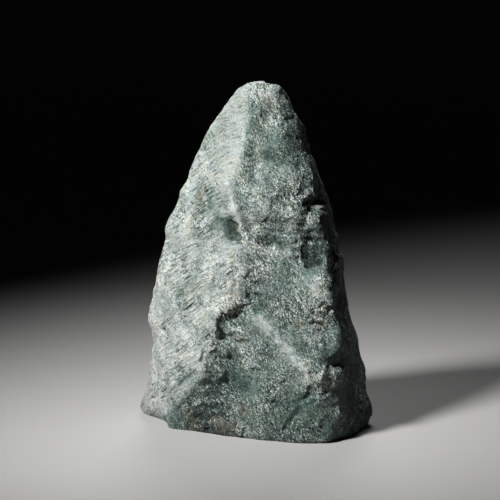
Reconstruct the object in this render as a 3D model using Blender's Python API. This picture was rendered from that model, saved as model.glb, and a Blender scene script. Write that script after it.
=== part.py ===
"""Raw jade boulder: one broken block of nephrite that stands on a sawn foot.

The block is drawn by its arrises, the ridges where two broken faces meet. Each arris is a short list
of places from the foot to the top. Rings are laid between the arrises at close heights, the larger
hollows and ribs are pressed into that skin, then flake scars roughen it. The facets are thinned and
the sawn foot is closed with one level face last.

Lengths are in millimetres until the mesh is made. +Z is up, the viewer stands on the -Y side, and the
origin is the middle of the block's outer box, on the ground.
"""
import bpy
import bmesh
from mathutils import Vector, noise

METRE_PER_MM = 0.001

# Overall sizes, mm. The block comes out 207 wide, 148 deep and 300 tall.
SUMMIT = Vector((4.0, -17.0, 292.0))
FOOT_SNAP = 0.4             # corners this close to the foot's plane belong to the sawn face
FOOT_EASE = 2.5             # how far the foot is worn back from the block's side
FOOT_EASE_HEIGHT = 7.0      # height at which that wear ends
CROWN_RINGS = ((0.88, 0.60), (0.60, 0.95))  # blunt top: share of the width, share of the last rise

# How finely the skin is laid out before it is thinned
ROW_STEP = 2.6
COLUMN_STEP = 3.6
COLUMN_COUNT_HEIGHT = 110.0
KEPT_FACETS = 0.235         # share of the facets that the thinning keeps

# Rough skin, mm: size of a feature and how far it stands out
SCAR_SIZE = 34.0
SCAR_DEPTH = 7.0
CHIP_SIZE = 15.0
CHIP_DEPTH = 2.6
LUMP_SIZE = 26.0
LUMP_HEIGHT = 2.2
MEAN_SCAR = 0.25            # mean of the squared distance to a scar's middle, in scar sizes

# How the front's larger forms die away
FORM_FADE = 1.5             # in half widths from the form's line
FORM_FACING = 1.6           # gain on how far the skin faces the viewer

JADE_GREEN = (0.205, 0.262, 0.232, 1.0)
JADE_ROUGHNESS = 0.72

# Ridges of the block as (x, y, z) from the foot up, in order from the left, across the front,
# round the right side and along the back.
ARRISES = {
    "left edge": [
        (-100, 49, 0), (-102, 43, 13), (-97, 32, 34), (-90, 20, 55), (-87, 13, 67), (-92, 9, 92),
        (-89, 5, 119), (-79, -1, 149), (-76, -7, 174), (-64, -10, 201), (-50, -15, 237),
        (-38, -19, 260), (-26, -21, 277), (-17, -19, 289)],
    "lobe crease": [
        (-77, 4, 0), (-78, 2, 13), (-79, -3, 34), (-82, -8, 55), (-84, -9, 80), (-80, -12, 110),
        (-66, -17, 149), (-61, -20, 174), (-50, -22, 201), (-41, -25, 238), (-31, -24, 262),
        (-14, -22, 289)],
    "left face": [
        (-79, -10, 0), (-76, -17, 26), (-71, -23, 53), (-64, -26, 83), (-57, -29, 114), (-49, -32, 149),
        (-45, -32, 179), (-38, -34, 208), (-31, -32, 238), (-23, -28, 267), (-11, -25, 290)],
    "crest": [
        (-74, -18, 0), (-72, -22, 18), (-57, -35, 36), (-45, -42, 51), (-39, -47, 70), (-34, -56, 89),
        (-29, -62, 106), (-20, -65, 121), (-19, -64, 146), (-16, -62, 166), (-12, -61, 175),
        (-18, -57, 193), (-22, -54, 215), (-15, -50, 233), (-10, -47, 245), (-7, -42, 261),
        (-6, -37, 277), (-3, -29, 292)],
    "hollow foot": [
        (-40, -36, 0), (-39, -38, 20), (-28, -42, 40), (-22, -47, 70), (-18, -55, 89), (-14, -60, 106),
        (-6, -62, 125), (-5, -61, 150), (0, -57, 175), (-3, -53, 195), (-6, -51, 215), (-4, -48, 233),
        (-2, -45, 250), (0, -39, 272), (1, -29, 292)],
    "front": [
        (2, -57, 0), (3, -59, 26), (6, -61, 52), (8, -62, 78), (10, -62, 107), (12, -60, 137),
        (13, -54, 165), (12, -52, 190), (11, -50, 215), (9, -46, 239), (7, -41, 261), (6, -35, 278),
        (6, -28, 292)],
    "front swell": [
        (40, -70, 0), (44, -70, 24), (42, -66, 48), (40, -63, 69), (42, -60, 95), (44, -58, 120),
        (42, -55, 145), (38, -52, 165), (33, -50, 185), (27, -48, 207), (22, -46, 226), (20, -43, 246),
        (17, -36, 268), (13, -26, 291)],
    "shade ridge": [
        (60, -72, 0), (70, -67, 24), (66, -62, 48), (68, -59, 69), (71, -57, 85), (66, -55, 110),
        (63, -52, 135), (60, -49, 156), (55, -46, 176), (51, -43, 197), (47, -40, 218), (45, -34, 234),
        (40, -29, 252), (35, -26, 268), (27, -23, 280), (19, -21, 290)],
    "shade face": [
        (84, -46, 0), (88, -40, 14), (83, -34, 40), (84, -31, 66), (82, -29, 90), (76, -27, 115),
        (72, -25, 140), (66, -24, 165), (60, -22, 190), (54, -21, 213), (48, -20, 235), (40, -19, 258),
        (31, -18, 276), (22, -18, 289)],
    "right edge": [
        (98, -10, 0), (101, 0, 12), (95, 7, 39), (90, 9, 64), (86, 7, 86), (79, 5, 108), (76, 3, 135),
        (72, 1, 155), (66, -1, 177), (63, -3, 196), (58, -5, 210), (51, -7, 225), (49, -9, 240),
        (44, -11, 257), (37, -13, 272), (29, -14, 281), (23, -15, 289)],
    "back right": [
        (80, 50, 0), (82, 51, 20), (77, 48, 60), (70, 45, 100), (61, 41, 140), (50, 33, 180),
        (38, 21, 220), (26, 6, 255), (14, -9, 288)],
    "back": [
        (22, 72, 0), (24, 73, 25), (14, 71, 70), (10, 65, 110), (8, 57, 150), (4, 45, 190),
        (2, 28, 230), (2, 9, 262), (4, -8, 288)],
    "back left": [
        (-58, 70, 0), (-62, 69, 22), (-57, 60, 60), (-61, 48, 100), (-55, 38, 140), (-45, 28, 180),
        (-33, 14, 220), (-22, 0, 255), (-10, -12, 288)],
}

# Larger hollows (rise below 0) and ribs (rise above 0) of the front, seen from the viewer's side:
# half width, rise, then the line that each one follows as (x, z).
FRONT_FORMS = {
    "pocket under the spur": (9, -8, [(-21, 184), (-20, 174)]),
    "spur tip": (6, 3, [(-18, 192), (-12, 175)]),
    "layered dimple": (14, -6, [(6, 178), (24, 174)]),
    "upper right hollow": (9, -6, [(39, 205), (52, 197)]),
    "lit ledge": (6, 3, [(43, 191), (50, 182)]),
    "sunk band": (10, -6, [(43, 170), (45, 153)]),
    "undercut of the lip": (8, -7, [(-14, 105), (-25, 101), (-27, 86)]),
    "lower left hollow": (13, -8, [(-24, 80), (-24, 62), (-32, 48), (-48, 36)]),
    "foot hollow": (8, -5, [(-48, 27), (-28, 28)]),
    "right notch": (6, -7, [(58, 66), (76, 66)]),
    "right knob": (9, 4, [(67, 88), (69, 80)]),
    "cracked corner": (6, -5, [(48, 46), (34, 33)]),
    "diagonal rib": (9, 3, [(2, 105), (20, 84), (39, 63)]),
    "bright shoulder": (12, 4, [(49, 137), (50, 122)]),
}


def arris_place(points, height):
    """Place on an arris at a height, straight between its points."""
    for low, high in zip(points, points[1:]):
        if height <= high[2]:
            return Vector(low).lerp(Vector(high), (height - low[2]) / (high[2] - low[2]))
    return Vector(points[-1])


def column_counts(arrises):
    """Number of columns from each arris to the next one, so that columns are about evenly wide."""
    places = [arris_place(points, COLUMN_COUNT_HEIGHT) for points in arrises]
    following = places[1:] + places[:1]
    return [max(2, round((b - a).length / COLUMN_STEP)) for a, b in zip(places, following)]


def ring_places(arrises, counts, share):
    """One ring of places round the block. Share runs from 0, at the foot, to 1, at the top."""
    corners = []
    for points in arrises:
        corners.append(arris_place(points, share * points[-1][2]))
    ring = []
    for corner, following, count in zip(corners, corners[1:] + corners[:1], counts):
        ring += [corner.lerp(following, step / count) for step in range(count)]
    return ring


def lay_skin(arrises):
    """Closed bmesh of the block with plain faces between its arrises."""
    counts = column_counts(arrises)
    row_count = round(SUMMIT.z / ROW_STEP)
    skin = bmesh.new()
    rows = []
    for row in range(row_count + 1):
        places = ring_places(arrises, counts, row / row_count)
        rows.append([skin.verts.new(place) for place in places])
    for width, lift in CROWN_RINGS:
        places = [vert.co.lerp(SUMMIT, 1.0 - width) for vert in rows[row_count]]
        for place, vert in zip(places, rows[row_count]):
            place.z = vert.co.z + (SUMMIT.z - vert.co.z) * lift
        rows.append([skin.verts.new(place) for place in places])
    for lower, upper in zip(rows, rows[1:]):
        for column in range(len(lower)):
            beside = (column + 1) % len(lower)
            skin.faces.new((lower[column], lower[beside], upper[beside], upper[column]))
    summit = skin.verts.new(SUMMIT)
    top = rows[-1]
    for column, vert in enumerate(top):
        skin.faces.new((vert, top[(column + 1) % len(top)], summit))
    skin.faces.new(list(reversed(rows[0])))
    skin.normal_update()
    return skin


def distance_to_line(x, z, line):
    """Shortest distance in the XZ plane from a place to a line of points."""
    place = Vector((x, z))
    nearest = float("inf")
    for start, end in zip(line, line[1:]):
        a = Vector(start)
        along = Vector(end) - a
        share = max(0.0, min(1.0, (place - a).dot(along) / along.length_squared))
        nearest = min(nearest, (place - a - along * share).length)
    return nearest


def front_form(place, normal):
    """Rise of the larger hollows and ribs at a place. They fade out where the skin turns sideways."""
    facing = max(0.0, min(1.0, -normal.y * FORM_FACING))
    total = 0.0
    for half_width, rise, line in FRONT_FORMS.values():
        reach = distance_to_line(place.x, place.z, line) / (half_width * FORM_FADE)
        if reach < 1.0:
            total += rise * (1.0 - reach * reach) ** 2
    return total * facing


def flake_scars(place, size, depth):
    """Shallow bowls that meet in sharp ridges, as where flakes were struck off."""
    nearest = noise.voronoi(place / size, distance_metric="DISTANCE_SQUARED")[0][0]
    return depth * (nearest - MEAN_SCAR)


def rough_skin(place):
    """Rise of the broken skin at a place: scars, smaller chips and soft lumps."""
    lumps = LUMP_HEIGHT * noise.noise(place / LUMP_SIZE)
    return flake_scars(place, SCAR_SIZE, SCAR_DEPTH) + flake_scars(place, CHIP_SIZE, CHIP_DEPTH) + lumps


def foot_wear(height):
    """How far the skin is worn back near the foot."""
    share = max(0.0, (FOOT_EASE_HEIGHT - height) / FOOT_EASE_HEIGHT)
    return FOOT_EASE * share * share


def roughen(skin):
    """Move each place of the skin along its own normal by the forms, the scars and the foot's wear."""
    bmesh.ops.smooth_vert(skin, verts=skin.verts, factor=0.5, use_axis_x=True, use_axis_y=True)
    skin.normal_update()
    moves = []
    for vert in skin.verts:
        rise = rough_skin(vert.co) + front_form(vert.co, vert.normal) - foot_wear(vert.co.z)
        outward = Vector((vert.normal.x, vert.normal.y, 0)) if vert.co.z == 0.0 else vert.normal
        moves.append(outward.normalized() * rise)
    for vert, move in zip(skin.verts, moves):
        vert.co += move


def thin_facets(skin):
    """Same skin with fewer facets, kept where the shape bends."""
    mesh = bpy.data.meshes.new("fine skin")
    skin.to_mesh(mesh)
    skin.free()
    holder = bpy.data.objects.new("fine skin", mesh)
    bpy.context.scene.collection.objects.link(holder)
    thinning = holder.modifiers.new("thinning", "DECIMATE")
    thinning.ratio = KEPT_FACETS
    evaluated = holder.evaluated_get(bpy.context.evaluated_depsgraph_get())
    thinned = bmesh.new()
    thinned.from_mesh(evaluated.to_mesh())
    evaluated.to_mesh_clear()
    bpy.data.objects.remove(holder, do_unlink=True)
    bpy.data.meshes.remove(mesh)
    return thinned


def close_foot(skin):
    """Make the sawn foot one level face again after the thinning."""
    for vert in skin.verts:
        if abs(vert.co.z) < FOOT_SNAP:
            vert.co.z = 0.0
    level = [face for face in skin.faces if all(vert.co.z == 0.0 for vert in face.verts)]
    bmesh.ops.delete(skin, geom=level, context="FACES")
    bmesh.ops.contextual_create(skin, geom=[edge for edge in skin.edges if edge.is_boundary])
    bmesh.ops.triangulate(skin, faces=skin.faces[:])


def centre_on_ground(skin):
    """Shift the block sideways until its outer box is centred on the origin."""
    for axis in (0, 1):
        low = min(vert.co[axis] for vert in skin.verts)
        high = max(vert.co[axis] for vert in skin.verts)
        for vert in skin.verts:
            vert.co[axis] -= (low + high) / 2


def jade_material():
    """Dull celadon green of freshly broken nephrite."""
    material = bpy.data.materials.new("rough_jade")
    material.use_nodes = True
    shader = material.node_tree.nodes["Principled BSDF"]
    shader.inputs["Base Color"].default_value = JADE_GREEN
    shader.inputs["Roughness"].default_value = JADE_ROUGHNESS
    shader.inputs["Metallic"].default_value = 0.0
    return material


def build_boulder():
    """The whole stone as one object."""
    skin = lay_skin(list(ARRISES.values()))
    roughen(skin)
    skin = thin_facets(skin)
    close_foot(skin)
    centre_on_ground(skin)
    bmesh.ops.scale(skin, vec=(METRE_PER_MM,) * 3, verts=skin.verts)
    bmesh.ops.recalc_face_normals(skin, faces=skin.faces[:])
    mesh = bpy.data.meshes.new("jade_boulder")
    skin.to_mesh(mesh)
    skin.free()
    mesh.materials.append(jade_material())
    boulder = bpy.data.objects.new("jade_boulder", mesh)
    bpy.context.scene.collection.objects.link(boulder)
    return boulder


for leftover in list(bpy.data.objects):
    bpy.data.objects.remove(leftover, do_unlink=True)
build_boulder()
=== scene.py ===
import math

import bmesh
import bpy
import numpy as np
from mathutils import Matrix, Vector, noise


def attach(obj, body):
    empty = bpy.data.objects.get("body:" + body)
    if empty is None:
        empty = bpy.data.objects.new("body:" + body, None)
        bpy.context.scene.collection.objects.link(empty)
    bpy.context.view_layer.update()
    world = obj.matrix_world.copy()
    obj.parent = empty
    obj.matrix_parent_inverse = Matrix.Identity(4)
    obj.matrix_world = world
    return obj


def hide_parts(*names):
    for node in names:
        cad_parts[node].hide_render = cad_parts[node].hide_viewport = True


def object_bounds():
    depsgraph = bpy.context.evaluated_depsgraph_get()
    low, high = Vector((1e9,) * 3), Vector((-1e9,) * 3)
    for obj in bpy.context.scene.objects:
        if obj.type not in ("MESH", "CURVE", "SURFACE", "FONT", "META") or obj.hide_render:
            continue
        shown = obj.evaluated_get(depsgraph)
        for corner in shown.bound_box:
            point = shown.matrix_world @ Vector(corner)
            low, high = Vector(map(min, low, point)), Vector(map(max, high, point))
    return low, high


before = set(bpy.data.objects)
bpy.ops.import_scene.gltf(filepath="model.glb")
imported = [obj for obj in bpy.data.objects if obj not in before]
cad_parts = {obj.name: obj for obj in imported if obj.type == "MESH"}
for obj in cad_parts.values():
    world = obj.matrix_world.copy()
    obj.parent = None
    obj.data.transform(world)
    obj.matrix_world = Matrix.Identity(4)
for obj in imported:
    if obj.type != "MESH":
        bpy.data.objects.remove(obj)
cad_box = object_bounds()

# The viewpoint: a long lens, a little above the stone's middle, on the -Y side. It also gives each
# place on the stone its place in the 500 by 500 picture, so that marks can be laid where they are seen.
PICTURE_SIZE = 500
LENS_PIXELS = 2000.0                                # focal length, in picture pixels
CAMERA_DISTANCE = 1.7
CAMERA_RISE = math.radians(8.5)
CAMERA_TARGET = Vector((-0.0047, -0.015, 0.155))
camera_back = Vector((0.0, -math.cos(CAMERA_RISE), math.sin(CAMERA_RISE)))
camera_data = bpy.data.cameras.new("viewpoint")
camera_data.lens = camera_data.sensor_width * LENS_PIXELS / PICTURE_SIZE
camera_data.clip_end = 20.0
camera = bpy.data.objects.new("viewpoint", camera_data)
camera.location = CAMERA_TARGET + camera_back * CAMERA_DISTANCE
camera.rotation_euler = camera_back.to_track_quat("Z", "Y").to_euler()
bpy.context.scene.collection.objects.link(camera)
bpy.context.scene.camera = camera


def picture_places(places):
    """Where places on the stone are seen, in picture pixels: across and down."""
    back = np.array(camera_back)
    up = np.array((0.0, math.sin(CAMERA_RISE), math.cos(CAMERA_RISE)))
    offset = places - np.array(CAMERA_TARGET)
    depth = CAMERA_DISTANCE - offset @ back
    across = PICTURE_SIZE / 2 + LENS_PIXELS * offset[:, 0] / depth
    down = PICTURE_SIZE / 2 - LENS_PIXELS * (offset @ up) / depth
    return np.stack((across, down), axis=1)


# The stone: one block of nephrite, split from its bed and left as it broke, with a sawn foot. It has
# no other pieces. The skin starts from the block's solid, is worked with the marks that are named
# below, and gets its chips, grain and fibres from a Geometry Nodes tree.
WORK_GRAIN = 0.0017                                 # mesh size while the solid's facets are smoothed out
MARK_GRAIN = 0.0012                                 # mesh size while the marks are worked in
SKIN_GRAIN = 0.0009                                 # mesh size while the skin is broken
SOFTENING = 7                                       # rounds of smoothing that take out the solid's facets
FOOT_BAND = 0.0035                                  # the skin keeps its place below this height
MOST_TRIANGLES = 196000
# How marks stray from their paths: size in metres, stray in pixels. Without a seed they would stray
# another way each run.
WANDER = ((0.009, 2.4), (0.0035, 1.5), (0.0015, 0.8))
WANDER_SEED = 4
noise.seed_set(WANDER_SEED)


def plain_mesh(obj, name):
    """Mesh of an object as its modifiers leave it. The object is removed."""
    graph = bpy.context.evaluated_depsgraph_get()
    mesh = bpy.data.meshes.new_from_object(obj.evaluated_get(graph))
    bpy.data.objects.remove(obj, do_unlink=True)
    mesh.name = name
    return mesh


def shown(mesh):
    """New object at the origin that holds a mesh."""
    obj = bpy.data.objects.new(mesh.name, mesh)
    bpy.context.scene.collection.objects.link(obj)
    return obj


def regrained(mesh, grain, softening):
    """The same skin laid out again in even squares, then smoothed."""
    obj = shown(mesh)
    remesh = obj.modifiers.new("even squares", "REMESH")
    remesh.mode = "VOXEL"
    remesh.voxel_size = grain
    if softening:
        smooth = obj.modifiers.new("soften", "SMOOTH")
        smooth.iterations = softening
        smooth.factor = 0.5
    return plain_mesh(obj, mesh.name)


def vertex_rows(mesh, field):
    """Places or normals of a mesh's vertices as rows of three numbers."""
    source = mesh.vertices if field == "co" else mesh.vertex_normals
    rows = np.empty(len(mesh.vertices) * 3, np.float32)
    source.foreach_get("co" if field == "co" else "vector", rows)
    return rows.reshape(-1, 3).astype(float)


def set_places(mesh, places):
    """Move a mesh's vertices."""
    mesh.vertices.foreach_set("co", places.astype(np.float32).ravel())
    mesh.update()


def soft_step(low, high, values):
    """0 below low, 1 above high, smooth between."""
    share = np.clip((values - low) / (high - low), 0.0, 1.0)
    return share * share * (3.0 - 2.0 * share)


def wandering(places):
    """Picture places of the skin, strayed a little so that marks have torn edges."""
    seen = picture_places(places)
    for size, stray in WANDER:
        drift = np.array([noise.noise_vector(place) for place in (places / size).tolist()])
        seen += drift[:, :2] * stray
    return seen


FAR = 1e9                                           # a distance above any other, in pixels


def along_path(seen, path):
    """Distance of each seen place from a path, signed: above 0 on the right hand of who walks it on the
    picture, and how far along it lies, from 0 to 1."""
    best = np.full(len(seen), FAR)
    side = np.zeros(len(seen))
    share = np.zeros(len(seen))
    steps = np.array(path, float)
    lengths = np.linalg.norm(np.diff(steps, axis=0), axis=1)
    starts = np.concatenate(([0.0], np.cumsum(lengths)))
    for index, length in enumerate(lengths):
        ahead = (steps[index + 1] - steps[index]) / length
        offset = seen - steps[index]
        run = np.clip(offset @ ahead, 0.0, length)
        gap = offset - run[:, None] * ahead
        distance = np.hypot(gap[:, 0], gap[:, 1])
        nearer = distance < best
        cross = ahead[0] * offset[:, 1] - ahead[1] * offset[:, 0]
        best[nearer] = distance[nearer]
        side[nearer] = np.sign(cross[nearer])
        share[nearer] = (starts[index] + run[nearer]) / starts[-1]
    return best * side, share


def stroke(seen, path, half_width):
    """A soft stroke along a path: 1 on the path, less and less on both sides of it."""
    distance, _ = along_path(seen, path)
    return np.exp(-(distance / half_width) ** 2)


def uneven(places, size, low, high, shift):
    """Noise along the skin between two values, so that no mark keeps one strength."""
    swings = np.array([noise.noise(place) for place in (places / size + shift).tolist()])
    return low + (high - low) * np.clip(0.5 + swings, 0.0, 1.0)


# Banks (rise above 0) and dips (below 0), broad and smooth: half width in pixels, rise in mm, path in
# pixels.
BANKS = {
    "left shoulder of the tip": (11, 2.6, [(244, 86), (232, 98), (220, 116), (206, 136)]),
    "upper left edge": (8, 1.8, [(188, 172), (172, 212)]),
    "right flank": (8, 3.6, [(338, 238), (341, 258)]),
    "waist": (9, -2.6, [(150, 338), (150, 352)]),
    "left nub": (6, 1.8, [(168, 221), (169, 229)]),
    "wall of the spur pocket": (11, 3.0, [(229, 222), (230, 237)]),
    "left end of the dimple": (12, 3.4, [(255, 208), (256, 236)]),
    "left bank of the right hollow": (8, 3.6, [(294, 180), (297, 196), (300, 212)]),
    "right bank of the dimple": (9, 2.2, [(293, 214), (297, 236)]),
    "left of the crease": (5, 0.6, [(226, 272), (226, 300)]),
    "floor under the lip": (8, 2.6, [(242, 334), (232, 340), (226, 350)]),
    "back of the lip": (7, 3.4, [(229, 331), (222, 335), (219, 345)]),
    "floor of the lower left": (12, 5.4, [(227, 348), (225, 364)]),
    "right of the lower left": (12, 2.2, [(241, 350), (238, 366)]),
    "upper bank of the lower left": (10, 1.6, [(214, 372), (202, 384), (190, 392)]),
    "bottom of the lower left": (9, 3.6, [(225, 372), (214, 388), (198, 402)]),
    "left bank of the notch": (8, 2.6, [(308, 361), (317, 361)]),
    "left end of the notch": (10, 5.4, [(324, 366), (315, 385)]),
    "bottom of the open corner": (7, 3.4, [(312, 389), (297, 404)]),
    "diagonal rib": (7, 2.6, [(260, 320), (276, 339), (290, 355), (306, 374)]),
    "right knob": (6, 2.6, [(337, 332), (338, 346)]),
}
# Ribs (rise above 0) and creases (below 0), narrow and torn: half width in pixels, rise in mm, path in
# pixels.
RIBS = {
    "lower left groove": (4, -1.8, [(234, 380), (221, 387), (208, 394), (196, 400)]),
    "groove left of the knob": (2.2, -1.8, [(324, 328), (323, 340), (326, 352)]),
    "pit in the top": (2.4, -2.2, [(265, 86), (268, 87)]),
    "lobe of the top": (4, 1.2, [(271, 86), (277, 88)]),
    "spur crest": (2.6, 1.8, [(228, 184), (232, 200), (239, 220), (244, 238)]),
    "crest of the lip": (2.2, 1.0, [(214, 334), (217, 319), (223, 311), (236, 308), (247, 304)]),
    "pocket sill": (2.4, 1.6, [(221, 233), (231, 240), (241, 243)]),
    "knobs of the right hollow": (2.0, 3.0, [(314, 206), (318, 209), (324, 208)]),
    "tan ledge of the right": (1.4, 1.8, [(309, 214), (317, 213), (326, 217)]),
    "brown crease": (1.5, -1.8, [(233, 262), (234, 280), (232, 301)]),
    "notch crack": (1.8, -3.4, [(321, 363), (328, 364), (335, 365), (345, 365)]),
    "edge crease": (1.8, -2.6, [(329, 383), (327, 391), (321, 397)]),
    "open corner": (2.4, -2.8, [(311, 388), (309, 395), (302, 400), (296, 404)]),
    "long crack": (1.6, -3.6, [(314, 401), (305, 404), (297, 409), (290, 417), (286, 425), (285, 430)]),
    "oval flake": (4, 1.5, [(302, 408), (306, 410)]),
    "crest by the corner": (2.4, 1.6, [(322, 396), (313, 399), (303, 405)]),
    "chip in the left face": (2.2, -3.6, [(205, 352), (202, 358), (199, 362)]),
    "dark slit": (1.2, -1.0, [(197, 369), (188, 375), (172, 392)]),
    "white slit": (1.6, 1.4, [(172, 363), (181, 358), (191, 354)]),
    "lower crest": (2.2, 2.4, [(196, 402), (206, 400), (216, 401), (225, 406)]),
    "lobe crease": (2.8, -3.2, [(163, 386), (165, 405), (165, 426)]),
    "first drape": (2.2, -1.8, [(173, 401), (171, 428)]),
    "second drape": (2.2, -1.6, [(181, 404), (180, 430)]),
    "vein of the foot": (1.6, 1.0, [(254, 408), (258, 420), (256, 434)]),
    "second vein of the foot": (1.4, 0.8, [(247, 416), (249, 434)]),
}

# Ledges: the skin drops on the right hand of who walks the path. Depth in mm, reach in pixels, path.
LEDGES = {
    "lip of the notch": (1.8, 4, [
        (218, 334), (217, 329), (218, 322), (221, 314), (225, 311), (233, 309), (241, 306), (250, 302)]),
    "edge of the spur pocket": (0.6, 8, [(219, 226), (220, 216), (226, 212), (233, 214)]),
    "first layer of the dimple": (0.9, 4, [(255, 221), (265, 220), (276, 222), (289, 226)]),
    "second layer of the dimple": (2.0, 6, [(254, 235), (270, 236), (284, 240), (300, 248)]),
    "third layer of the dimple": (1.0, 4, [(264, 229), (276, 230), (288, 235)]),
    "brow of the right hollow": (3.4, 7, [(301, 212), (303, 202), (309, 196), (317, 198)]),
    "brow of the sunk band": (2.8, 13, [(293, 242), (301, 235), (312, 237), (325, 245)]),
    "edge beside the pale bank": (0.5, 7, [(250, 303), (246, 290), (246, 275), (250, 262)]),
    "shelf under the shoulder": (2.2, 7, [(292, 320), (302, 323), (314, 321), (329, 325)]),
    "brow of the right notch": (2.6, 8, [(326, 355), (332, 355), (338, 353), (346, 352)]),
    "edge of the lower left": (1.4, 6, [(188, 402), (200, 398), (212, 392), (222, 386), (231, 379)]),
    "edge under the left face": (2.2, 10, [(203, 375), (206, 362), (211, 351), (215, 343)]),
    "short flake": (2.6, 7, [(243, 297), (256, 293), (270, 295), (282, 300)]),
    "middle flake": (1.8, 7, [(256, 255), (268, 252), (284, 256), (297, 262)]),
    "low flake": (2.0, 7, [(236, 372), (250, 376), (262, 384), (280, 386)]),
    "upper flake": (1.2, 6, [(254, 176), (266, 180), (281, 178), (296, 184)]),
    "flake of the upper face": (1.0, 6, [(277, 108), (280, 133), (278, 150)]),
}

# Broken faces: sink in mm, tilt in mm per pixel (across, down; a face that rises to the right or
# downwards looks to the light), border in pixels, outline in pixels, clockwise.
BROKEN_FACES = {
    "spur pocket": (3.6, (-0.46, -0.20), 1.5, [
        (221, 217), (231, 215), (243, 231), (244, 242), (226, 240)]),
    "right of the tip": (0.4, (-0.15, -0.02), 7, [
        (279, 88), (298, 88), (318, 138), (318, 160), (288, 154), (281, 120)]),
    "right hollow": (2.0, (-0.26, -0.10), 1.5, [(302, 200), (311, 195), (320, 199), (315, 214), (302, 215)]),
    "lit patch of the right": (-1.0, (0.24, 0.12), 2.5, [(305, 216), (316, 213), (316, 229), (304, 231)]),
    "shade beside the lit patch": (0.8, (-0.34, 0.0), 2.5, [
        (317, 213), (350, 213), (350, 254), (323, 254), (317, 236)]),
    "sunk band": (2.4, (-0.30, -0.14), 2.5, [
        (299, 240), (314, 234), (324, 246), (324, 264), (305, 267), (298, 255)]),
    "bright shoulder": (-0.7, (0.16, 0.04), 3, [
        (305, 274), (324, 272), (338, 288), (333, 306), (309, 306)]),
    "bite beside the shoulder": (0.5, (-0.12, 0.0), 2, [(326, 267), (336, 267), (335, 281), (326, 281)]),
    "dimple": (1.0, (-0.02, -0.12), 2, [
        (256, 224), (278, 224), (298, 236), (300, 246), (280, 249), (258, 246)]),
    "pit under the lip": (0.6, (-0.10, 0.04), 1.5, [(226, 314), (240, 313), (241, 327), (228, 329)]),
    "below the pit": (0.2, (0.04, 0.12), 2.5, [(224, 331), (247, 330), (247, 346), (226, 348)]),
    "dark lower left": (0.2, (-0.06, 0.0), 3, [(214, 346), (236, 352), (234, 382), (208, 390), (205, 376)]),
    "lower hollow": (2.2, (-0.18, -0.20), 1.5, [(192, 404), (224, 404), (228, 420), (190, 420)]),
    "right notch": (1.0, (-0.14, -0.12), 1.5, [(328, 356), (342, 354), (344, 364), (328, 365)]),
    "bank above the lower left": (-0.6, (0.08, 0.02), 3, [
        (208, 341), (216, 340), (208, 376), (190, 388), (180, 388)]),
    "low bank of the right": (-0.6, (0.08, 0.04), 3, [
        (297, 364), (321, 364), (326, 378), (314, 387), (300, 394), (290, 388)]),
    "upper right side": (1.0, (-0.20, 0.0), 3, [(303, 156), (345, 156), (345, 196), (313, 192), (307, 176)]),
    "beside the rib": (0.6, (-0.14, 0.02), 2, [(290, 328), (308, 332), (310, 348), (300, 346)]),
    "far corner": (0.6, (-0.20, 0.0), 1.5, [(318, 386), (338, 390), (338, 432), (316, 430)]),
    "crown of the dimple": (0.0, (0.02, 0.04), 5, [(268, 200), (298, 202), (298, 222), (268, 219)]),
    "lower end of the rib": (-0.4, (0.12, 0.05), 3, [
        (284, 346), (292, 343), (309, 369), (301, 376), (290, 366)]),
    "pale lower front": (0.0, (0.10, 0.08), 3, [(246, 372), (272, 370), (276, 400), (250, 404)]),
    "low right flank": (3.6, (0.0, 0.0), 4, [(346, 360), (385, 360), (390, 440), (348, 440)]),
}
MARKS_FADE = (-0.35, 0.0)                           # marks come in where the skin turns to the viewer
MARKS_UNEVEN = (0.005, 0.5, 1.25, 11.0)             # size in metres, least, most, shift of the noise
RIB_PROFILE = 1.4                                   # 1 gives a sharp crest, 2 a round one
LEDGE_EDGE = (-0.6, 1.4)                            # where a ledge drops, in pixels across its path
LEDGE_END = 6.0                                     # full depth a sixth of its length from each end
LEDGE_LIMIT = (3.0, 1.5)                            # where a ledge's foot fades out, in reaches
MM_PER_METRE = 1000.0


def inside(seen, outline, border):
    """1 inside a closed outline with no inward corner, walked clockwise, 0 outside, with a soft border."""
    depth = np.full(len(seen), FAR)
    corners = np.array(outline, float)
    for corner, following in zip(corners, np.roll(corners, -1, axis=0)):
        ahead = (following - corner) / np.linalg.norm(following - corner)
        offset = seen - corner
        depth = np.minimum(depth, ahead[0] * offset[:, 1] - ahead[1] * offset[:, 0])
    return soft_step(-border, border, depth)


def worked(mesh):
    """Work the named banks, ribs, ledges and broken faces into the skin that faces the viewer."""
    places = vertex_rows(mesh, "co")
    normals = vertex_rows(mesh, "normal")
    plain = picture_places(places)
    seen = wandering(places)
    facing = soft_step(*MARKS_FADE, normals @ np.array(camera_back))
    above_foot = soft_step(0.0, FOOT_BAND, places[:, 2])
    strength = uneven(places, *MARKS_UNEVEN)
    rise = np.zeros(len(places))
    for half_width, height, path in BANKS.values():
        rise += height * stroke(plain, path, half_width)
    for half_width, height, path in RIBS.values():
        distance, _ = along_path(seen, path)
        rise += height * np.exp(-np.abs(distance / half_width) ** RIB_PROFILE) * strength
    for depth, reach, path in LEDGES.values():
        distance, share = along_path(seen, path)
        ends = np.clip(np.minimum(share, 1.0 - share) * LEDGE_END, 0.0, 1.0)
        drop = soft_step(*LEDGE_EDGE, distance) * np.exp(-np.maximum(distance, 0.0) / reach)
        limit = soft_step(LEDGE_LIMIT[0] * reach, LEDGE_LIMIT[1] * reach, distance)
        rise -= depth * drop * ends * limit * strength
    for sink, tilt, border, outline in BROKEN_FACES.values():
        middle = np.mean(np.array(outline, float), axis=0)
        plane = (plain - middle) @ np.array(tilt) - sink
        rise += plane * inside(seen, outline, border)
    set_places(mesh, places + normals * (rise * facing * above_foot / MM_PER_METRE)[:, None])


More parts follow.
